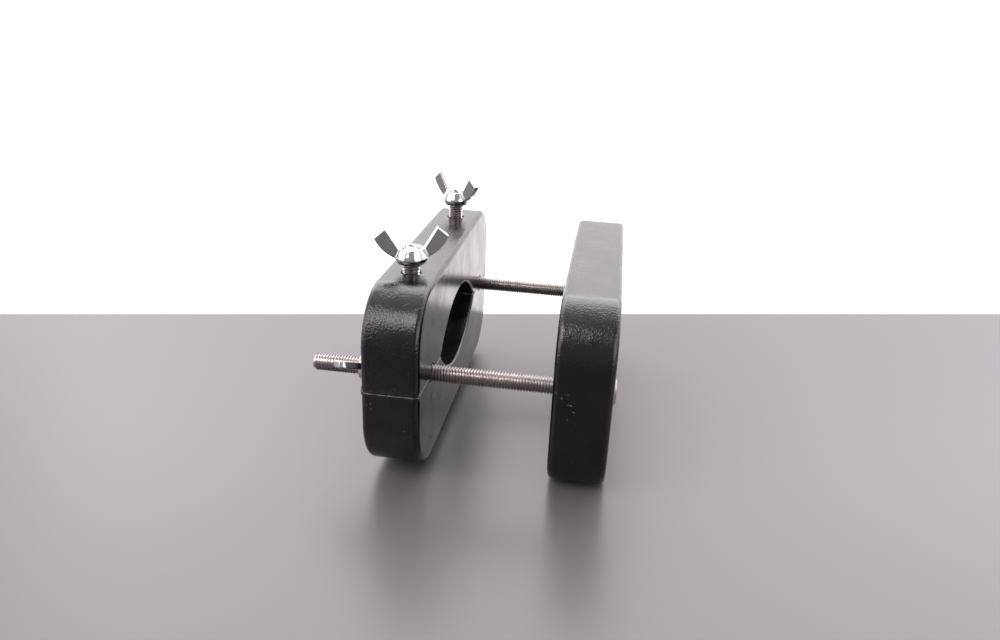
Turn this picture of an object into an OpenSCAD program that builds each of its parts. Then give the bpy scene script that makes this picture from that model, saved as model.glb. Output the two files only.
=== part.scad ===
// Two-way bar clamp: a split block with a lens-shaped pipe opening, and a jaw
// plate that two long bolts draw towards it. Wing nuts work both pairs of bolts.
// X runs along the long bolts towards their heads, Z is up, and the origin is
// under the middle of the whole clamp, level with the lowest bolt heads.

/* [Plates] */
// Thickness of the split block and of the jaw plate, along the long bolts
plate_t = 19; // [16:0.5:25]
// Length of the split block, front to back
block_len = 131; // [120:1:150]
// Length of the jaw plate, front to back
jaw_len = 126; // [120:1:150]
// Height of each plate
plate_h = 64; // [60:1:80]
// Radius of the plates' upper corners
top_corner_r = 18; // [8:0.5:24]
// Radius of the split block's lower corners
block_foot_r = 20; // [8:0.5:24]
// Radius of the jaw plate's lower corners
jaw_foot_r = 15; // [8:0.5:24]
// Radius of the rounded edge round each broad face
edge_r = 2; // [1:0.25:3]

/* [Pipe opening] */
// Width of the lens-shaped opening along the split
opening_w = 65; // [50:1:66]
// Depth of the shallow seat in each half of the block
seat_rise = 14; // [8:0.5:18]
// Free gap between the two halves when they are closed
split_gap = 0.3; // [0.2:0.05:1]

/* [Bolts] */
// Outer diameter of the bolts' thread
bolt_d = 5.9; // [5.8:0.05:5.95]
// Length under the head of the two long bolts
long_bolt_len = 98.4; // [90:0.2:120]
// Length under the head of the two clamp bolts
clamp_bolt_len = 71; // [70:1:80]
// Distance between the axes of the long bolts
long_bolt_spacing = 93; // [91:0.5:98]
// Distance between the axes of the clamp bolts
clamp_bolt_spacing = 75; // [74:0.5:78]
// Width of the hexagon heads across their flats
head_af = 10; // [9.8:0.1:10]
// Height of the hexagon heads
head_h = 4; // [3.5:0.1:4.5]
// Depth that a long bolt's head sinks into the jaw plate
jaw_pocket_depth = 3; // [1.2:0.1:3.6]
// Depth that a clamp bolt's head sinks into the underside of the block
foot_pocket_depth = 1.2; // [0.8:0.1:2.4]

/* [Wing nuts] */
// Height of a wing nut's hub
hub_h = 5.4; // [5:0.1:7]
// Height of a wing nut over its wing tips
wing_h = 12.3; // [11:0.1:14]
// Distance from a wing nut's axis to the outer corner of a wing
wing_reach = 12.4; // [11:0.1:14]
// Thickness of the wings
wing_t = 2.4; // [1.8:0.1:3]

/* [Setting] */
// Clear gap between the block and the jaw plate
jaw_gap = 41.5; // [30:0.5:50]
// Height of the front clamp nut above the block
front_nut_lift = 3.2; // [0.5:0.1:5]
// Height of the rear clamp nut above the block
rear_nut_lift = 5.2; // [0.5:0.1:6]
// Turn of the front clamp nut's wings
front_nut_turn = 23; // [0:1:180]
// Turn of the rear clamp nut's wings
rear_nut_turn = 144; // [0:1:180]
// Turn of the front draw nut's wings
front_draw_turn = 65; // [0:1:180]
// Turn of the rear draw nut's wings
rear_draw_turn = 158; // [0:1:180]

/* [Hidden] */
$fn = 96;
over = 1;                                    // how far a cutter runs past a face
bolt_r = bolt_d / 2;
thread_bore_r = bolt_r + 0.05;               // running fit of a nut on its bolt
hole_r = bolt_r + 0.45;                      // clearance hole for a bolt
pocket_af = head_af + 0.4;
tip_chamfer = 0.8;
draw_nut_gap = 0.2;                          // between a draw nut and the block

base_z = head_h - foot_pocket_depth;         // underside of both plates
mid_z = base_z + plate_h / 2;                // split plane and long bolt axes
top_z = base_z + plate_h;
assembly_w = long_bolt_len + head_h;         // tip to head of a long bolt
tip_x = -assembly_w / 2;
head_seat_x = tip_x + long_bolt_len;
jaw_outer_x = head_seat_x + jaw_pocket_depth;
jaw_x = jaw_outer_x - plate_t;               // inner face of the jaw plate
block_x = jaw_x - jaw_gap - plate_t;         // outer face of the split block
clamp_x = block_x + plate_t / 2;             // axes of the clamp bolts
front_y = -long_bolt_spacing / 2;
rear_y = long_bolt_spacing / 2;
front_clamp_y = -clamp_bolt_spacing / 2;
rear_clamp_y = clamp_bolt_spacing / 2;
seat_r = (pow(opening_w / 2, 2) + pow(seat_rise, 2)) / (2 * seat_rise);

// wing nut section, in its own frame with the hub's foot at z = 0
hub_foot_r = 4.6;
hub_belly_r = 5.6;
hub_belly_z = 2.2;
hub_top_r = 4.2;
wing_crown = 8.7;                            // inner corner of a wing, from the axis
wing_corner_z = wing_h - 3.1;                // outer corner of a wing
wing_outer_r = 13.4;                         // arc under both wings
wing_outer_z = wing_corner_z + sqrt(pow(wing_outer_r, 2) - pow(wing_reach, 2));

plastic = [0.09, 0.09, 0.1];
steel = [0.78, 0.77, 0.74];

// ---- plates --------------------------------------------------------------

// Section through a plate's rim, from the middle out to its rounded edges
module rim_section(reach) {
    square([reach - edge_r, plate_t]);
    translate([0, edge_r]) square([reach, plate_t - 2 * edge_r]);
    translate([reach - edge_r, edge_r]) circle(r = edge_r);
    translate([reach - edge_r, plate_t - edge_r]) circle(r = edge_r);
}

// Straight slab that reaches out along x to an edge with the rim's section
module rim_slab(reach, len) {
    translate([0, len / 2, 0]) rotate([90, 0, 0])
        linear_extrude(height = len) rim_section(reach);
}

// Both corners on the upper side, and the straight edge between them
module rounded_side(len, r) {
    for (s = [-1, 1])
        translate([s * (len / 2 - r), plate_h / 2 - r, 0])
            rotate_extrude() rim_section(r);
    rotate([0, 0, 90]) rim_slab(plate_h / 2, len - 2 * r);
}

// Whole plate of the given length and lower corner radius, its left face at x0
module plate_blank(x0, len, foot_r) {
    end_len = plate_h - top_corner_r - foot_r;
    translate([x0, 0, mid_z]) rotate([90, 0, 90]) {
        rounded_side(len, top_corner_r);
        rotate([0, 0, 180]) rounded_side(len, foot_r);
        for (turn = [0, 1])
            translate([0, (foot_r - top_corner_r) / 2, 0]) mirror([turn, 0, 0])
                rim_slab(len / 2, end_len);
    }
}

// Hexagonal pocket, cut from a face at z = 0 down into the plate
module head_pocket(depth) {
    translate([0, 0, -depth])
        cylinder(d = pocket_af / cos(30), h = depth + over, $fn = 6);
}

module along_x(y, z) {
    translate([0, y, z]) rotate([0, 90, 0]) children();
}

// Lens between two shallow arcs, the shape of the pipe opening
module opening_cutter() {
    translate([block_x - over, 0, mid_z]) rotate([90, 0, 90])
        linear_extrude(height = plate_t + 2 * over)
            intersection_for (s = [-1, 1])
                translate([0, s * (seat_r - seat_rise)]) circle(r = seat_r, $fn = 180);
}

module block_blank() {
    difference() {
        plate_blank(block_x, block_len, block_foot_r);
        opening_cutter();
        for (y = [front_y, rear_y])
            translate([block_x - over, 0, 0]) along_x(y, mid_z)
                cylinder(r = hole_r, h = plate_t + 2 * over);
        for (y = [front_clamp_y, rear_clamp_y])
            translate([clamp_x, y, base_z]) {
                translate([0, 0, -over]) cylinder(r = hole_r, h = plate_h + 2 * over);
                rotate([180, 0, 30]) head_pocket(foot_pocket_depth);
            }
    }
}

// Everything on one side of the split, wide enough for any plate
module half_space(up) {
    size = 2 * block_len;
    z0 = up ? mid_z + split_gap / 2 : mid_z - split_gap / 2 - size;
    translate([-size / 2, -size / 2, z0]) cube(size);
}

module upper_block_half() {
    color(plastic) intersection() {
        block_blank();
        half_space(true);
    }
}

module lower_block_half() {
    color(plastic) intersection() {
        block_blank();
        half_space(false);
    }
}

module jaw_plate() {
    color(plastic) difference() {
        plate_blank(jaw_x, jaw_len, jaw_foot_r);
        for (y = [front_y, rear_y]) {
            translate([jaw_x - over, 0, 0]) along_x(y, mid_z)
                cylinder(r = hole_r, h = plate_t + 2 * over);
            translate([jaw_outer_x, 0, 0]) along_x(y, mid_z)
                head_pocket(jaw_pocket_depth);
        }
    }
}

// ---- bolts ---------------------------------------------------------------

// Hexagon bolt pointing down from its head, seat at z = 0
module hex_bolt(len) {
    color(steel) {
        intersection() {
            cylinder(d = head_af / cos(30), h = head_h, $fn = 6);
            cylinder(r1 = head_af / 2 + head_h, r2 = head_af / 2 - 0.05, h = head_h);
        }
        translate([0, 0, tip_chamfer - len]) cylinder(r = bolt_r, h = len - tip_chamfer);
        translate([0, 0, -len])
            cylinder(r1 = bolt_r - tip_chamfer, r2 = bolt_r, h = tip_chamfer);
    }
}

module long_bolt(y) {
    translate([head_seat_x, 0, 0]) along_x(y, mid_z) hex_bolt(long_bolt_len);
}

module clamp_bolt(y) {
    translate([clamp_x, y, base_z + foot_pocket_depth]) rotate([180, 0, 30])
        hex_bolt(clamp_bolt_len);
}

module front_long_bolt() { long_bolt(front_y); }
module rear_long_bolt() { long_bolt(rear_y); }
module front_clamp_bolt() { clamp_bolt(front_clamp_y); }
module rear_clamp_bolt() { clamp_bolt(rear_clamp_y); }

// ---- wing nuts -----------------------------------------------------------

// Both wings in the X-Z plane: a band between two arcs with straight-cut tips
module wing_outline() {
    intersection() {
        translate([0, wing_outer_z]) circle(r = wing_outer_r);
        polygon([[wing_reach, 0], [wing_reach, wing_corner_z], [wing_crown, wing_h],
                 [hub_top_r, hub_h], [-hub_top_r, hub_h], [-wing_crown, wing_h],
                 [-wing_reach, wing_corner_z], [-wing_reach, 0]]);
    }
}

// Wing nut on the z axis, its foot at z = 0 and its wings along x
module wing_nut() {
    color(steel) difference() {
        union() {
            rotate_extrude()
                polygon([[0, 0], [hub_foot_r, 0], [hub_belly_r, hub_belly_z],
                         [hub_top_r, hub_h], [0, hub_h]]);
            translate([0, wing_t / 2, 0]) rotate([90, 0, 0])
                linear_extrude(height = wing_t) wing_outline();
        }
        translate([0, 0, -over]) cylinder(r = thread_bore_r, h = wing_h + 2 * over);
    }
}

module clamp_wing_nut(y, lift, turn) {
    translate([clamp_x, y, top_z + lift]) rotate([0, 0, turn]) wing_nut();
}

module draw_wing_nut(y, turn) {
    translate([block_x - draw_nut_gap, y, mid_z])
        rotate([turn, 0, 0]) rotate([0, -90, 0]) wing_nut();
}

module front_clamp_wing_nut() { clamp_wing_nut(front_clamp_y, front_nut_lift, front_nut_turn); }
module rear_clamp_wing_nut() { clamp_wing_nut(rear_clamp_y, rear_nut_lift, rear_nut_turn); }
module front_draw_wing_nut() { draw_wing_nut(front_y, front_draw_turn); }
module rear_draw_wing_nut() { draw_wing_nut(rear_y, rear_draw_turn); }

upper_block_half();
lower_block_half();
jaw_plate();
front_long_bolt();
rear_long_bolt();
front_clamp_bolt();
rear_clamp_bolt();
front_clamp_wing_nut();
rear_clamp_wing_nut();
front_draw_wing_nut();
rear_draw_wing_nut();
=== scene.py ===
import math

import bmesh
import bpy
from mathutils import Matrix, Vector


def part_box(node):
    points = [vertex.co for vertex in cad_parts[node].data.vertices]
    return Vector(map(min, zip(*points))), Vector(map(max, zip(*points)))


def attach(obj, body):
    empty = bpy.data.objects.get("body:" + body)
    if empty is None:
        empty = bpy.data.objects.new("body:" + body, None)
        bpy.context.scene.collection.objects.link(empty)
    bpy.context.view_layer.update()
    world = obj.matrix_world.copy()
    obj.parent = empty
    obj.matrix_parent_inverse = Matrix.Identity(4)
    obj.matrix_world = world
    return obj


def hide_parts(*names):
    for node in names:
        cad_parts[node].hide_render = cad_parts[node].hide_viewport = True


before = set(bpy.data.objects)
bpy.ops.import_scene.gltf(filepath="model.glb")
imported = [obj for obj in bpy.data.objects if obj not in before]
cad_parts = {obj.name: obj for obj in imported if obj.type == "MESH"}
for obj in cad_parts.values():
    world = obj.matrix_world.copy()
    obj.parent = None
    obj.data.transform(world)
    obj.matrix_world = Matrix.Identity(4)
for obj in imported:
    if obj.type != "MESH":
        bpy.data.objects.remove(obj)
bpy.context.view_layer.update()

MM = 0.001

# ---- sizes that the CAD boxes don't give, in millimetres and degrees ---------

# plates
TOP_CORNER_R = 18.0
BLOCK_FOOT_R = 20.0
JAW_FOOT_R = 15.0
EDGE_R = 2.0
OPENING_W = 65.0
SEAT_RISE = 14.0
SPLIT_GAP = 0.3
HOLE_R = 3.4
POCKET_AF = 10.4
JAW_POCKET = 3.0
FOOT_POCKET = 1.2

# bolts
BOLT_R = 2.95
THREAD_PITCH = 1.0
THREAD_DEPTH = 0.56
TIP_CHAMFER = 0.85
HEAD_AF = 10.0
HEAD_H = 4.0
WASHER_FACE_H = 0.25

# wing nuts
HUB_H = 5.4
HUB_TOP_R = 4.2
NUT_BORE_R = 3.0
WING_H = 12.3
WING_REACH = 12.4
WING_T = 2.4
WING_CROWN = 8.7
WING_DROP = 3.1
WING_OUTER_R = 13.4
FRONT_NUT_TURN = 23.0
REAR_NUT_TURN = 144.0
FRONT_DRAW_TURN = 65.0
REAR_DRAW_TURN = 158.0

# small bevels that catch the light
LENS_RIM = 0.9
SPLIT_EDGE = 0.22
SPLIT_CORNER = 0.35
GROOVE_EDGE = 0.35
WING_EDGE = 0.3
HOLE_LIP = 0.3

# where the thread's crest, flank and root end, as shares of the pitch
CREST_END = 0.16
FLANK_END = 0.5
ROOT_END = 0.66

# how finely the round stretches are divided
CORNER_STEPS = 28
GROOVE_STEPS = 18
SEAT_STEPS = 72
UNDER_WING_STEPS = 56
SHANK_SEGMENTS = 28
HOLE_SEGMENTS = 48
NUT_VOXEL = 0.17

# edges where the surface turns by more than this stay sharp
PLATE_SHARP = 32.0
BOLT_SHARP = 38.0
NUT_SHARP = 50.0


def node_box(name):
    """Lowest and highest corner of a CAD node, in millimetres."""
    lo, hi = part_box(name)
    return Vector(lo) / MM, Vector(hi) / MM


# ---- mesh helpers ----------------------------------------------------------

def link(mesh, name):
    obj = bpy.data.objects.new(name, mesh)
    bpy.context.scene.collection.objects.link(obj)
    return obj


def mesh_from(name, verts, faces):
    """Mesh from millimetre coordinates, welded and with faces turned outwards."""
    mesh = bpy.data.meshes.new(name)
    mesh.from_pydata([Vector(v) * MM for v in verts], [], faces)
    bm = bmesh.new()
    bm.from_mesh(mesh)
    bmesh.ops.remove_doubles(bm, verts=bm.verts, dist=1e-7)
    bmesh.ops.recalc_face_normals(bm, faces=bm.faces)
    bm.to_mesh(mesh)
    bm.free()
    return mesh


def applied(obj):
    """The object's mesh with its modifiers applied; the object itself is removed."""
    depsgraph = bpy.context.evaluated_depsgraph_get()
    mesh = bpy.data.meshes.new_from_object(obj.evaluated_get(depsgraph))
    bpy.data.objects.remove(obj)
    return mesh


def cut(obj, cutters, operation="DIFFERENCE"):
    """Cuts the object with each cutter mesh in turn and gives the new mesh back."""
    tools = [link(cutter, f"cutter_{i}") for i, cutter in enumerate(cutters)]
    for i, tool in enumerate(tools):
        mod = obj.modifiers.new(f"cut_{i}", "BOOLEAN")
        mod.operation = operation
        mod.solver = "EXACT"
        mod.object = tool
    mesh = applied(obj)
    for tool in tools:
        bpy.data.objects.remove(tool)
    return mesh


def join(objs, name):
    """One mesh from several objects, which are removed."""
    bm = bmesh.new()
    for obj in objs:
        bm.from_mesh(obj.data)
        bpy.data.objects.remove(obj)
    mesh = bpy.data.meshes.new(name)
    bm.to_mesh(mesh)
    bm.free()
    return mesh


def smooth(mesh, angle):
    """Smooth shading, with sharp edges where faces meet at more than the angle."""
    for poly in mesh.polygons:
        poly.use_smooth = True
    mesh.set_sharp_from_angle(angle=math.radians(angle))


def weighted(obj):
    """Lets the large flat faces set the shading of the bevels beside them."""
    mod = obj.modifiers.new("face_normals", "WEIGHTED_NORMAL")
    mod.keep_sharp = True
    mod.weight = 80


def turned(profile, segments, name):
    """Solid of revolution about z from (radius, height) pairs."""
    verts, faces = [], []
    rows = len(profile)
    for i in range(segments):
        a = 2 * math.pi * i / segments
        for r, z in profile:
            verts.append((r * math.cos(a), r * math.sin(a), z))
    for i in range(segments):
        n = (i + 1) % segments
        for k in range(rows - 1):
            faces.append((i * rows + k, n * rows + k, n * rows + k + 1, i * rows + k + 1))
    return mesh_from(name, verts, faces)


def prism(outline, z0, z1, name):
    """Straight prism over a list of (x, y) points."""
    n = len(outline)
    verts = [(x, y, z0) for x, y in outline] + [(x, y, z1) for x, y in outline]
    faces = [tuple(range(n))[::-1], tuple(range(n, 2 * n))]
    faces += [(i, (i + 1) % n, n + (i + 1) % n, n + i) for i in range(n)]
    return mesh_from(name, verts, faces)


def hexagon(across_flats, turn=0.0):
    r = across_flats / 2 / math.cos(math.radians(30))
    angles = [math.radians(turn + 60 * i) for i in range(6)]
    return [(r * math.cos(a), r * math.sin(a)) for a in angles]


def moved(mesh, matrix):
    mesh.transform(matrix)
    return mesh


def at(x, y, z):
    return Matrix.Translation(Vector((x, y, z)) * MM)


def spin(angle, axis="Z"):
    return Matrix.Rotation(math.radians(angle), 4, axis)


# these turn a piece that is built along +z
ALONG_X = spin(90, "Y")
ALONG_MINUS_X = spin(-90, "Y")
UPSIDE_DOWN = spin(180, "X")


def stands_for(obj, node, body):
    """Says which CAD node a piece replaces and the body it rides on."""
    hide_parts(node)
    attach(obj, body)


# ---- outlines --------------------------------------------------------------

def arc(cy, cz, r, a0, a1, steps):
    """Points of an arc round (cy, cz), angles in degrees."""
    angles = [math.radians(a0 + (a1 - a0) * i / steps) for i in range(steps + 1)]
    return [(cy + r * math.cos(a), cz + r * math.sin(a)) for a in angles]


def spaced(p, q, step=4.0):
    """Points from p towards q, without q itself."""
    d = math.dist(p, q)
    n = max(1, round(d / step))
    return [(p[0] + (q[0] - p[0]) * i / n, p[1] + (q[1] - p[1]) * i / n) for i in range(n)]


def upper_rim(length, height, r):
    """Open line over the top of a plate, from its front middle to its rear middle."""
    y, z = length / 2, height / 2
    front = arc(-y + r, z - r, r, 180, 90, CORNER_STEPS)
    rear = arc(y - r, z - r, r, 90, 0, CORNER_STEPS)
    return (spaced((-y, 0), front[0]) + front[:-1] + spaced(front[-1], rear[0])
            + rear[:-1] + spaced(rear[-1], (y, 0)) + [(y, 0)])


def groove(y):
    """Half-round groove for a long bolt, as ((y, z), bevel) pairs."""
    start = math.degrees(math.asin(SPLIT_GAP / 2 / HOLE_R))
    return [(p, GROOVE_EDGE) for p in arc(y, 0, HOLE_R, start, 180 - start, GROOVE_STEPS)]


def seat():
    """The shallow seat of the pipe opening, as ((y, z), bevel) pairs."""
    r = ((OPENING_W / 2) ** 2 + SEAT_RISE ** 2) / (2 * SEAT_RISE)
    z = SEAT_RISE - r
    half = math.degrees(math.acos((SPLIT_GAP / 2 - z) / r))
    return [(p, LENS_RIM) for p in arc(0, z, r, 90 - half, 90 + half, SEAT_STEPS)]


def half_loop(length, height, corner_r, groove_y):
    """Closed outline of one half block as ((y, z), bevel) pairs, the split at z = 0."""
    lift = SPLIT_GAP / 2
    c = SPLIT_CORNER
    front = [(-length / 2 + c, lift), (-length / 2 + 0.3 * c, lift + 0.3 * c),
             (-length / 2, lift + c)]
    rear = [(-y, z) for y, z in reversed(front)]
    rim = [p for p in upper_rim(length, height, corner_r) if p[1] > lift + c]
    loop = [(p, EDGE_R) for p in front[1:] + rim + rear[:-1]]
    here = rear[-1]
    for shape in (groove(groove_y), seat(), groove(-groove_y)):
        loop += [(p, SPLIT_EDGE) for p in spaced(here, shape[0][0])]
        loop += shape
        here = shape[-1][0]
    loop += [(p, SPLIT_EDGE) for p in spaced(here, front[0])[1:]] + [(front[0], SPLIT_EDGE)]
    # stretches that meet share a point, and it is kept once, with the first one's bevel
    kept = []
    for point, bevel in loop:
        if not kept or math.dist(point, kept[-1][0]) > 1e-4:
            kept.append((point, bevel))
    return kept


def plate_loop(length, height):
    """Closed outline of the whole jaw plate as ((y, z), bevel) pairs."""
    top = [(p, EDGE_R) for p in upper_rim(length, height, TOP_CORNER_R)]
    low = [((y, -z), EDGE_R) for y, z in reversed(upper_rim(length, height, JAW_FOOT_R))]
    return top + low[1:-1]


def inset_dirs(loop):
    """For each point, the shift that moves both its sides in by one millimetre of bevel."""
    points = [point for point, bevel in loop]
    following = points[1:] + points[:1]
    area = sum(y * next_z - next_y * z
               for (y, z), (next_y, next_z) in zip(points, following))
    turn = 1 if area > 0 else -1
    dirs = []
    for i, (y, z) in enumerate(points):
        (last_y, last_z), (next_y, next_z) = points[i - 1], following[i]
        a = Vector((y - last_y, z - last_z)).normalized()
        b = Vector((next_y - y, next_z - z)).normalized()
        na, nb = Vector((-a.y, a.x)) * turn, Vector((-b.y, b.x)) * turn
        m = na + nb
        m = m.normalized() if m.length > 1e-6 else na
        # the limit keeps the point of a sharp corner from moving too far
        dirs.append(m / max(0.35, m.dot(na)))
    return dirs


def rounded_slab(loop, x0, x1, centre_z, name, steps=6):
    """Slab over a closed outline whose rims are rounded by each point's own bevel."""
    dirs = inset_dirs(loop)
    sides = []
    for side, x_face in ((-1, x0), (1, x1)):
        rings = []
        for k in range(steps + 1):
            t = math.pi / 2 * k / steps
            ring = []
            for ((y, z), bevel), d in zip(loop, dirs):
                s = bevel * (1 - math.sin(t))
                x = x_face - side * bevel * (1 - math.cos(t))
                ring.append((x, y + d.x * s, z + d.y * s + centre_z))
            rings.append(ring)
        sides.append(rings)
    rings = sides[0] + sides[1][::-1]
    n = len(loop)
    last = (len(rings) - 1) * n
    verts = [v for ring in rings for v in ring]
    faces = [tuple(range(n)), tuple(range(last, last + n))[::-1]]
    for k in range(len(rings) - 1):
        for i in range(n):
            j = (i + 1) % n
            faces.append((k * n + i, k * n + j, (k + 1) * n + j, (k + 1) * n + i))
    return mesh_from(name, verts, faces)


# ---- plates ----------------------------------------------------------------

block_lo, block_hi = node_box("lower_block_half")
jaw_lo, jaw_hi = node_box("jaw_plate")
long_lo, long_hi = node_box("rear_long_bolt")
clamp_lo, clamp_hi = node_box("rear_clamp_bolt")

top_z = node_box("upper_block_half")[1].z
mid_z = (long_lo.z + long_hi.z) / 2
long_y = (long_lo.y + long_hi.y) / 2
clamp_x = (clamp_lo.x + clamp_hi.x) / 2
clamp_y = (clamp_lo.y + clamp_hi.y) / 2
plate_h = top_z - block_lo.z
block_len = block_hi.y - block_lo.y
jaw_len = jaw_hi.y - jaw_lo.y


def hole_cutter(z0, z1):
    """Cutter for a bolt hole along z, whose ends flare into a small chamfer."""
    flare = HOLE_R + HOLE_LIP + 1
    profile = [(0, z0 - 1), (flare, z0 - 1), (HOLE_R, z0 + HOLE_LIP), (HOLE_R, z1 - HOLE_LIP),
               (flare, z1 + 1), (0, z1 + 1)]
    return turned(profile, HOLE_SEGMENTS, "hole")


def finished_plate(obj, cutters, name):
    """The plate with its holes and pockets, shaded smooth between its edges."""
    mesh = cut(obj, cutters)
    smooth(mesh, PLATE_SHARP)
    plate = link(mesh, name)
    weighted(plate)
    return plate


def make_half(up):
    """Upper or lower half of the split block."""
    name = "block_upper_half" if up else "block_lower_half"
    loop = half_loop(block_len, plate_h, TOP_CORNER_R if up else BLOCK_FOOT_R, long_y)
    z0, z1 = mid_z + SPLIT_GAP / 2, top_z
    if not up:
        loop = [((y, -z), bevel) for (y, z), bevel in loop]
        z0, z1 = block_lo.z, mid_z - SPLIT_GAP / 2
    obj = link(rounded_slab(loop, block_lo.x, block_hi.x, mid_z, name), name)
    cutters = []
    for y in (-clamp_y, clamp_y):
        cutters.append(moved(hole_cutter(z0, z1), at(clamp_x, y, 0)))
        if not up:
            pocket = prism(hexagon(POCKET_AF, 30), -1.0, FOOT_POCKET, "pocket")
            cutters.append(moved(pocket, at(clamp_x, y, block_lo.z)))
    half = finished_plate(obj, cutters, name)
    stands_for(half, "upper_block_half" if up else "lower_block_half",
               "upper_half" if up else "lower_half")
    return half


def make_jaw():
    """Jaw plate, with a hexagonal pocket for each long bolt's head."""
    loop = plate_loop(jaw_len, plate_h)
    obj = link(rounded_slab(loop, jaw_lo.x, jaw_hi.x, mid_z, "jaw_slab"), "jaw_slab")
    cutters = []
    for y in (-long_y, long_y):
        cutters.append(moved(hole_cutter(jaw_lo.x, jaw_hi.x), at(0, y, mid_z) @ ALONG_X))
        pocket = prism(hexagon(POCKET_AF), -JAW_POCKET, 1.0, "pocket")
        cutters.append(moved(pocket, at(jaw_hi.x, y, mid_z) @ ALONG_X))
    jaw = finished_plate(obj, cutters, "jaw_slab")
    stands_for(jaw, "jaw_plate", "jaw")
    return jaw


# ---- bolts -----------------------------------------------------------------

def threaded_shank(length):
    """Threaded shank from z = 0 down to -length, closed at its chamfered end."""
    crest, root = BOLT_R, BOLT_R - THREAD_DEPTH
    shape = [(0.0, crest), (CREST_END, crest), (FLANK_END, root), (ROOT_END, root)]
    rows = len(shape)
    # the turns before the seat and past the end are squeezed flat, which closes both
    turns = int(length / THREAD_PITCH) + 3
    columns = turns * SHANK_SEGMENTS + 1
    verts, faces = [], []
    for c in range(columns):
        a = 2 * math.pi * c / SHANK_SEGMENTS
        for share, r in shape:
            s = (c / SHANK_SEGMENTS - 1 + share) * THREAD_PITCH
            if s < 0:
                r = min(r, root + 0.1) * max(0.0, 1 + s / THREAD_PITCH)
            elif s > length:
                r = min(r, crest - TIP_CHAMFER) * max(0.0, 1 - (s - length) / THREAD_PITCH)
            else:
                r = min(r, crest - TIP_CHAMFER + (length - s))
            verts.append((r * math.cos(a), -r * math.sin(a), -min(max(s, 0.0), length)))
    for c in range(columns - 1):
        for k in range(rows):
            a, b = c * rows + k, (c + 1) * rows + k
            if k < rows - 1:
                faces.append((a, b, b + 1, a + 1))
            elif c + SHANK_SEGMENTS + 1 < columns:
                next_turn = (c + SHANK_SEGMENTS) * rows
                faces.append((a, b, next_turn + rows, next_turn))
    return mesh_from("shank", verts, faces)


def bolt_head():
    """Hexagon head on z = 0, its upper corners turned off by a cone, washer face below."""
    r = HEAD_AF / 2
    body = link(prism(hexagon(HEAD_AF), WASHER_FACE_H, HEAD_H, "head"), "head")
    cone = turned([(0, -1), (r + 1.2, -1), (r + 1.2, HEAD_H - 1.9), (r - 0.8, HEAD_H - 0.25),
                   (r - 1.1, HEAD_H), (0, HEAD_H)], 60, "cone")
    head = link(cut(body, [cone], "INTERSECT"), "head")
    washer_face = [(0, 0), (r - 0.4, 0), (r - 0.2, 0.12), (r - 0.2, 0.6), (0, 0.6)]
    washer = link(turned(washer_face, HOLE_SEGMENTS, "washer"), "washer")
    return join([head, washer], "head")


def bolt_mesh(length, name):
    mesh = join([link(bolt_head(), "head"), link(threaded_shank(length), "shank")], name)
    smooth(mesh, BOLT_SHARP)
    return mesh


# ---- wing nuts -------------------------------------------------------------

def wing_outline():
    """Both wings and the web between them: an arc below, straight edges above."""
    outer_z = WING_H - WING_DROP + math.sqrt(WING_OUTER_R ** 2 - WING_REACH ** 2)
    start = math.degrees(math.asin(WING_REACH / WING_OUTER_R))
    under = arc(0, outer_z, WING_OUTER_R, start - 90, -90 - start, UNDER_WING_STEPS)
    # the web's upper edge stays inside the hub
    web_z = HUB_H - 0.3
    corners = [under[-1], (-WING_CROWN, WING_H), (-HUB_TOP_R, web_z), (HUB_TOP_R, web_z),
               (WING_CROWN, WING_H), under[0]]
    over = []
    for here, there in zip(corners, corners[1:]):
        over += spaced(here, there, 0.5)
    return under + over[1:]


def wing_nut_mesh():
    """Pressed wing nut on z = 0: hub and wings grown together, then bored."""
    hub = turned([(0, 0), (4.35, 0), (4.75, 0.2), (5.3, 1.0), (5.6, 1.9), (5.6, 2.3), (5.3, 3.1),
                  (4.75, 4.3), (4.35, HUB_H - 0.2), (4.05, HUB_H), (0, HUB_H)], 96, "hub")
    loop = [(p, WING_EDGE) for p in wing_outline()]
    wings = moved(rounded_slab(loop, -WING_T / 2, WING_T / 2, 0.0, "wings", 4), spin(-90))
    grown = link(join([link(hub, "hub"), link(wings, "wings")], "nut"), "nut")
    mod = grown.modifiers.new("grow", "REMESH")
    mod.mode = "VOXEL"
    mod.voxel_size = NUT_VOXEL * MM
    mod = grown.modifiers.new("ease", "SMOOTH")
    mod.factor = 0.5
    mod.iterations = 7
    grown = link(applied(grown), "nut")
    bore = turned([(0, -1), (NUT_BORE_R + 1.5, -1), (NUT_BORE_R, 0.5), (NUT_BORE_R, HUB_H - 0.45),
                   (NUT_BORE_R + 1.45, HUB_H + 1), (0, HUB_H + 1)], 64, "bore")
    mesh = cut(grown, [bore])
    smooth(mesh, NUT_SHARP)
    return mesh


def place_copy(mesh, matrix, name, node, body):
    """Copy of a bolt's or a nut's mesh at its place in the clamp."""
    obj = link(moved(mesh.copy(), matrix), name)
    stands_for(obj, node, body)
    return obj


# ---- material helpers ------------------------------------------------------

def material(name):
    """New node material, with its tree and its shader."""
    mat = bpy.data.materials.new(name)
    mat.use_nodes = True
    tree = mat.node_tree
    return mat, tree, tree.nodes["Principled BSDF"]


def feed(tree, node, key, value):
    """Links a socket to a node's input, or sets the input to a plain value."""
    if isinstance(value, bpy.types.NodeSocket):
        tree.links.new(value, node.inputs[key])
    else:
        node.inputs[key].default_value = value


def add(tree, kind, inputs=None, **attrs):
    node = tree.nodes.new(kind)
    for key, value in attrs.items():
        setattr(node, key, value)
    for key, value in (inputs or {}).items():
        feed(tree, node, key, value)
    return node


def maths(tree, operation, a, b=0.0):
    node = add(tree, "ShaderNodeMath", operation=operation)
    feed(tree, node, 0, a)
    feed(tree, node, 1, b)
    return node.outputs[0]


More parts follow.
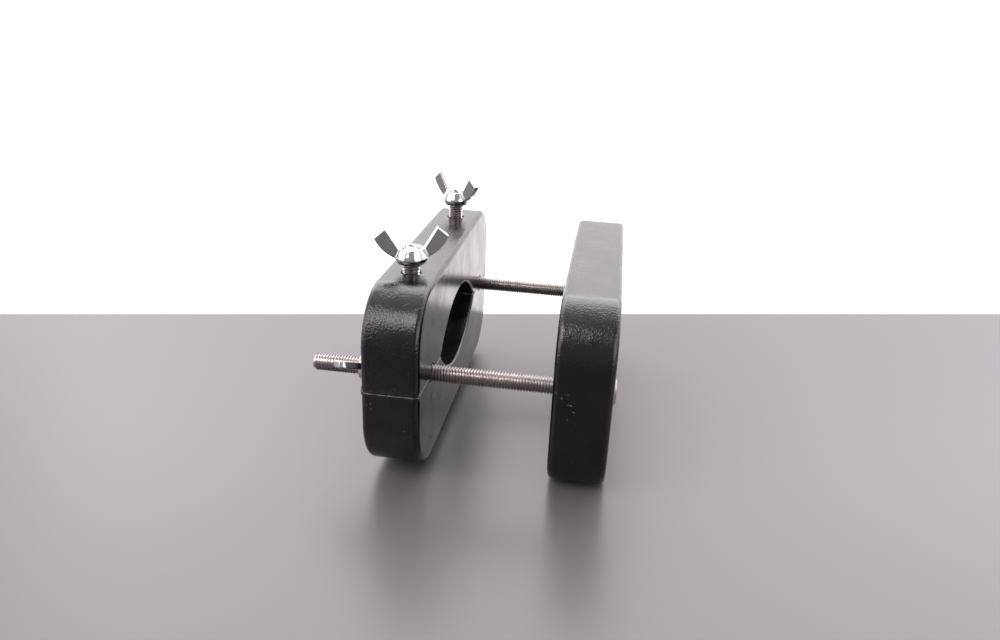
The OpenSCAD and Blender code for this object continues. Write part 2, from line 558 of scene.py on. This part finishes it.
def combined(tree, operation, values):
    """One value from several, taken two at a time."""
    out = values[0]
    for value in values[1:]:
        out = maths(tree, operation, out, value)
    return out


def product(tree, *values):
    return combined(tree, "MULTIPLY", values)


def total(tree, *values):
    return combined(tree, "ADD", values)


def largest(tree, *values):
    return combined(tree, "MAXIMUM", values)


def noise(tree, vector, scale, detail, rough):
    return add(tree, "ShaderNodeTexNoise", {"Vector": vector, "Scale": scale, "Detail": detail,
                                            "Roughness": rough}).outputs["Fac"]


def stretched(tree, vector, sx, sy, sz):
    """Coordinates with a scale for each axis; lines run along the low scales."""
    return add(tree, "ShaderNodeMapping", {"Vector": vector, "Scale": (sx, sy, sz)}).outputs[0]


def shifted(tree, vector, by):
    return add(tree, "ShaderNodeVectorMath", {0: vector, 1: by}, operation="ADD").outputs[0]


def rotated(tree, vector, angle, axis):
    return add(tree, "ShaderNodeVectorRotate", {"Vector": vector, "Angle": angle},
               rotation_type=f"{axis}_AXIS").outputs[0]


def ramp(tree, value, low, high, to_low=0.0, to_high=1.0):
    return add(tree, "ShaderNodeMapRange", {"Value": value, "From Min": low, "From Max": high,
                                            "To Min": to_low, "To Max": to_high}).outputs[0]


def between(tree, factor, first, second):
    """Colour between two (red, green, blue) colours."""
    return add(tree, "ShaderNodeMix", {"Factor": factor, 6: (*first, 1), 7: (*second, 1)},
               data_type="RGBA").outputs[2]


def connect(tree, shader, colour, rough, height, strength):
    """Colour, roughness and relief for the shader; the height is in metres."""
    bump = add(tree, "ShaderNodeBump", {"Height": height, "Strength": strength, "Distance": 1.0})
    tree.links.new(colour, shader.inputs["Base Color"])
    tree.links.new(rough, shader.inputs["Roughness"])
    tree.links.new(bump.outputs[0], shader.inputs["Normal"])


# ---- black plastic ---------------------------------------------------------

BLACK = (0.0014, 0.0012, 0.0017)
BARED = (0.34, 0.32, 0.34)
PLASTIC_IOR = 1.5
PLASTIC_ROUGH = (0.17, 0.29)

# heights of the relief, in metres
RIM_LINE_H = 0.000060
FACE_LINE_H = 0.000020
RIM_PEBBLE_H = 0.00030
FACE_PEBBLE_H = 0.00002
WAVE_H = 0.00020

# distances from the split at which the saw's burr starts to fade and ends, in metres
BURR_FADES = 0.00028
BURR_ENDS = 0.00048

# angles of the scratches in radians, and shifts that keep their places apart
SCRATCHES = ((0.65, 0.0), (-0.9, 0.5), (1.25, 0.9))


def plastic_relief(tree, coords, broad, sanded):
    """Sanding lines round the rim, fainter upright ones on broad faces, pebbles and waves."""
    rim_lines = noise(tree, stretched(tree, coords, 2600, 190, 190), 1.0, 3.0, 0.6)
    face_lines = noise(tree, stretched(tree, coords, 300, 2300, 150), 1.0, 3.0, 0.6)
    pebble = noise(tree, coords, 1350.0, 2.0, 0.55)
    patches = ramp(tree, noise(tree, coords, 75.0, 2.0, 0.5), 0.40, 0.60, 0.2, 1.0)
    pebble_h = total(tree, product(tree, sanded, RIM_PEBBLE_H), FACE_PEBBLE_H)
    wave = noise(tree, coords, 55.0, 2.0, 0.5)
    return total(tree, product(tree, rim_lines, sanded, RIM_LINE_H),
                 product(tree, face_lines, broad, FACE_LINE_H),
                 product(tree, pebble, patches, pebble_h),
                 product(tree, wave, WAVE_H))


def worn_edges(tree, coords, pointiness):
    ragged = ramp(tree, noise(tree, coords, 700.0, 3.0, 0.7), 0.42, 0.7)
    return product(tree, ramp(tree, pointiness, 0.53, 0.62), ragged, 0.5)


def specks(tree, coords):
    cells = add(tree, "ShaderNodeTexVoronoi", {"Vector": coords, "Scale": 300.0})
    dots = ramp(tree, cells.outputs["Distance"], 0.05, 0.11, 1.0, 0.0)
    where = ramp(tree, noise(tree, coords, 95.0, 0.0, 0.5), 0.82, 0.88)
    return product(tree, dots, where, 0.7)


def scratches(tree, coords, tilt, shift):
    """Fine scratches in one direction, in a few places only."""
    skew = rotated(tree, rotated(tree, coords, tilt, "X"), tilt + shift, "Y")
    line = noise(tree, stretched(tree, skew, 1500, 1500, 45), 1.0, 0.0, 0.5)
    where = noise(tree, shifted(tree, coords, (shift, tilt, shift)), 70.0, 1.0, 0.5)
    return product(tree, ramp(tree, line, 0.76, 0.82), ramp(tree, where, 0.62, 0.72), 0.3)


def saw_burr(tree, coords, place, burr_z):
    """Ragged pale line at the height burr_z."""
    z = add(tree, "ShaderNodeSeparateXYZ", {0: place}).outputs[2]
    away = maths(tree, "ABSOLUTE", maths(tree, "SUBTRACT", z, burr_z * MM))
    ragged = ramp(tree, noise(tree, coords, 420.0, 3.0, 0.7), 0.40, 0.62, 0.12, 1.0)
    return product(tree, ramp(tree, away, BURR_FADES, BURR_ENDS, 1.0, 0.0), ragged, 0.5)


def plastic(name, seed, burr_z=None):
    """Black plastic: sanded rims, scuffed broad faces, pale marks, and a burr at burr_z."""
    mat, tree, shader = material(name)
    place = add(tree, "ShaderNodeTexCoord").outputs["Object"]
    coords = shifted(tree, place, (seed, seed * 2, seed * 3))
    geometry = add(tree, "ShaderNodeNewGeometry").outputs
    facing = add(tree, "ShaderNodeSeparateXYZ", {0: geometry["Normal"]}).outputs

    # the rim is sanded, and its level stretches less than its ends and bends
    broad = ramp(tree, maths(tree, "ABSOLUTE", facing[0]), 0.75, 0.97)
    rim = maths(tree, "SUBTRACT", 1.0, broad)
    level = ramp(tree, maths(tree, "ABSOLUTE", facing[2]), 0.9, 0.995)
    sanded = maths(tree, "MULTIPLY", rim, maths(tree, "SUBTRACT", 1.0, product(tree, level, 0.75)))
    height = plastic_relief(tree, coords, broad, sanded)

    # smudges change the gloss
    smudge = noise(tree, coords, 85.0, 4.0, 0.62)
    rough = ramp(tree, smudge, 0.3, 0.7, *PLASTIC_ROUGH)

    marks = [worn_edges(tree, coords, geometry["Pointiness"]), specks(tree, coords)]
    marks += [scratches(tree, coords, tilt, shift) for tilt, shift in SCRATCHES]
    if burr_z is not None:
        marks.append(saw_burr(tree, coords, place, burr_z))
    colour = between(tree, largest(tree, *marks), BLACK, BARED)
    connect(tree, shader, colour, rough, height, 0.8)
    shader.inputs["IOR"].default_value = PLASTIC_IOR
    return mat


# ---- stainless steel -------------------------------------------------------

def steel(name, base, stain, rough_range, grain, grain_h):
    """Bright stainless steel with a fine grain, grain_h metres high, and faint stains."""
    mat, tree, shader = material(name)
    coords = add(tree, "ShaderNodeTexCoord").outputs["Object"]
    fine = noise(tree, coords, grain, 4.0, 0.65)
    broad = noise(tree, coords, 320.0, 3.0, 0.55)
    rough = maths(tree, "ADD", ramp(tree, fine, 0.3, 0.7, *rough_range),
                  ramp(tree, broad, 0.35, 0.75, 0.0, 0.06))
    colour = between(tree, ramp(tree, broad, 0.4, 0.75, 0.0, 0.7), base, stain)
    connect(tree, shader, colour, rough, maths(tree, "MULTIPLY", fine, grain_h), 0.6)
    shader.inputs["Metallic"].default_value = 1.0
    return mat


# ---- build -----------------------------------------------------------------

block_black = plastic("block_black", 0.0)
sawn_black = plastic("sawn_black", 0.11, mid_z)
jaw_black = plastic("jaw_black", 0.37)
bolt_steel = steel("rolled_steel", (0.42, 0.385, 0.37), (0.30, 0.27, 0.25), (0.20, 0.34),
                   5200.0, 0.000012)
nut_steel = steel("polished_steel", (0.55, 0.54, 0.53), (0.46, 0.45, 0.43), (0.06, 0.16),
                  2400.0, 0.000010)

pieces = [(make_half(True), block_black), (make_half(False), sawn_black), (make_jaw(), jaw_black)]

long_len = long_hi.x - long_lo.x - HEAD_H
clamp_len = clamp_hi.z - clamp_lo.z - HEAD_H
head_x = long_hi.x - HEAD_H
foot_z = clamp_lo.z + HEAD_H
long_mesh = bolt_mesh(long_len, "long_bolt")
clamp_mesh = bolt_mesh(clamp_len, "clamp_bolt")
for side, sign in (("front", -1), ("rear", 1)):
    place = at(head_x, sign * long_y, mid_z) @ ALONG_X
    screw = place_copy(long_mesh, place, f"{side}_draw_screw", f"{side}_long_bolt", "jaw")
    pieces.append((screw, bolt_steel))
    place = at(clamp_x, sign * clamp_y, foot_z) @ UPSIDE_DOWN @ spin(30)
    screw = place_copy(clamp_mesh, place, f"{side}_clamp_screw", f"{side}_clamp_bolt",
                       "lower_half")
    pieces.append((screw, bolt_steel))

nut_mesh = wing_nut_mesh()
for side, sign, turn in (("front", -1, FRONT_NUT_TURN), ("rear", 1, REAR_NUT_TURN)):
    nut_z = node_box(f"{side}_clamp_wing_nut")[0].z
    place = at(clamp_x, sign * clamp_y, nut_z) @ spin(turn)
    wings = place_copy(nut_mesh, place, f"{side}_clamp_wings", f"{side}_clamp_wing_nut",
                       f"{side}_clamp_nut")
    pieces.append((wings, nut_steel))
for side, sign, turn in (("front", -1, FRONT_DRAW_TURN), ("rear", 1, REAR_DRAW_TURN)):
    nut_x = node_box(f"{side}_draw_wing_nut")[1].x
    place = at(nut_x, sign * long_y, mid_z) @ spin(turn, "X") @ ALONG_MINUS_X
    wings = place_copy(nut_mesh, place, f"{side}_draw_wings", f"{side}_draw_wing_nut",
                       f"{side}_draw_nut")
    pieces.append((wings, nut_steel))

for obj, mat in pieces:
    obj.data.materials.clear()
    obj.data.materials.append(mat)

# ---- floor -----------------------------------------------------------------

# the clamp leans on its two bolt heads and the jaw plate's outer lower edge, and the
# floor is turned with the camera's view; both angles are in radians
LEAN = 0.0429
CAMERA_TURN = 0.1465
FLOOR_FRONT = -900.0
FLOOR_BACK = 96.0
FLOOR_SPAN = 900.0

floor_mat, _, floor_shader = material("pale_floor")
floor_shader.inputs["Base Color"].default_value = (0.088, 0.084, 0.088, 1)
floor_shader.inputs["Roughness"].default_value = 0.33
floor_shader.inputs["IOR"].default_value = 1.45
floor_corners = [(-FLOOR_SPAN, FLOOR_FRONT, 0), (FLOOR_SPAN, FLOOR_FRONT, 0),
                 (FLOOR_SPAN, FLOOR_BACK, 0), (-FLOOR_SPAN, FLOOR_BACK, 0)]
floor = link(mesh_from("floor", floor_corners, [(0, 1, 2, 3)]), "floor")
contact = at(clamp_x + HEAD_AF / 2, 0, 0)
lean = Matrix.Rotation(-LEAN, 4, "Y")
heading = Matrix.Rotation(CAMERA_TURN, 4, "Z")
floor.matrix_world = contact @ lean @ heading
floor.data.materials.append(floor_mat)

# ---- light -----------------------------------------------------------------

# brightness of the white sweep behind, and of the dimmer studio on the camera's side
SWEEP = 1.5
DIM = 0.45
TOWARDS_SWEEP = (0.0, 0.97, 0.25)
SWEEP_COLOUR = (1.0, 0.955, 0.985)
LAMP_COLOUR = (1.0, 0.96, 0.985)

world = bpy.data.worlds.new("studio")
bpy.context.scene.world = world
world.use_nodes = True
sky = world.node_tree
background = sky.nodes["Background"]
direction = add(sky, "ShaderNodeTexCoord").outputs["Generated"]
backward = add(sky, "ShaderNodeVectorMath", {0: direction, 1: TOWARDS_SWEEP},
               operation="DOT_PRODUCT").outputs["Value"]
sweep = add(sky, "ShaderNodeMapRange", {"Value": backward, "From Min": -0.3, "From Max": 0.5},
            interpolation_type="SMOOTHSTEP").outputs[0]
background.inputs["Color"].default_value = (*SWEEP_COLOUR, 1)
sky.links.new(total(sky, product(sky, sweep, SWEEP), DIM), background.inputs["Strength"])


def softbox(name, place, size, radiance):
    """Rectangular lamp that faces the clamp; the cameras don't see the lamp itself."""
    light = bpy.data.lights.new(name, "AREA")
    light.shape = "RECTANGLE"
    light.size, light.size_y = size
    light.energy = radiance * math.pi * size[0] * size[1]
    light.color = LAMP_COLOUR
    obj = bpy.data.objects.new(name, light)
    bpy.context.scene.collection.objects.link(obj)
    obj.location = Vector(place) * MM
    aim = Vector((0, 0, mid_z)) * MM - obj.location
    obj.rotation_mode = "QUATERNION"
    obj.rotation_quaternion = aim.to_track_quat("-Z", "Y")
    obj.visible_camera = False


# places in millimetres, sizes in metres
softbox("rear_softbox", (0, 640, 720), (1.9, 0.70), 3.3)
softbox("overhead_softbox", (-310, -420, 560), (0.56, 0.34), 7.0)
softbox("left_softbox", (-680, -430, 300), (0.60, 0.50), 3.0)
softbox("right_softbox", (680, -430, 300), (0.60, 0.50), 3.0)

# ---- camera ----------------------------------------------------------------

CAMERA_AT = (42.7, -283.7, 153.6)
CAMERA_RIGHT = (0.98838, 0.14593, 0.04245)
CAMERA_FORWARD = (-0.11944, 0.91854, -0.37685)
SENSOR_MM = 36.0
LENS_MM = 28.8

forward = Vector(CAMERA_FORWARD).normalized()
right = Vector(CAMERA_RIGHT)
right = (right - forward * right.dot(forward)).normalized()
up = right.cross(forward)
view = Matrix((right, up, -forward)).transposed().to_4x4()
camera_data = bpy.data.cameras.new("camera")
camera_data.sensor_width = SENSOR_MM
camera_data.lens = LENS_MM
camera_data.clip_start = 0.01
camera_data.clip_end = 10.0
camera = bpy.data.objects.new("camera", camera_data)
bpy.context.scene.collection.objects.link(camera)
camera.matrix_world = Matrix.Translation(Vector(CAMERA_AT) * MM) @ view
bpy.context.scene.camera = camera

bpy.context.scene.view_settings.view_transform = "Standard"
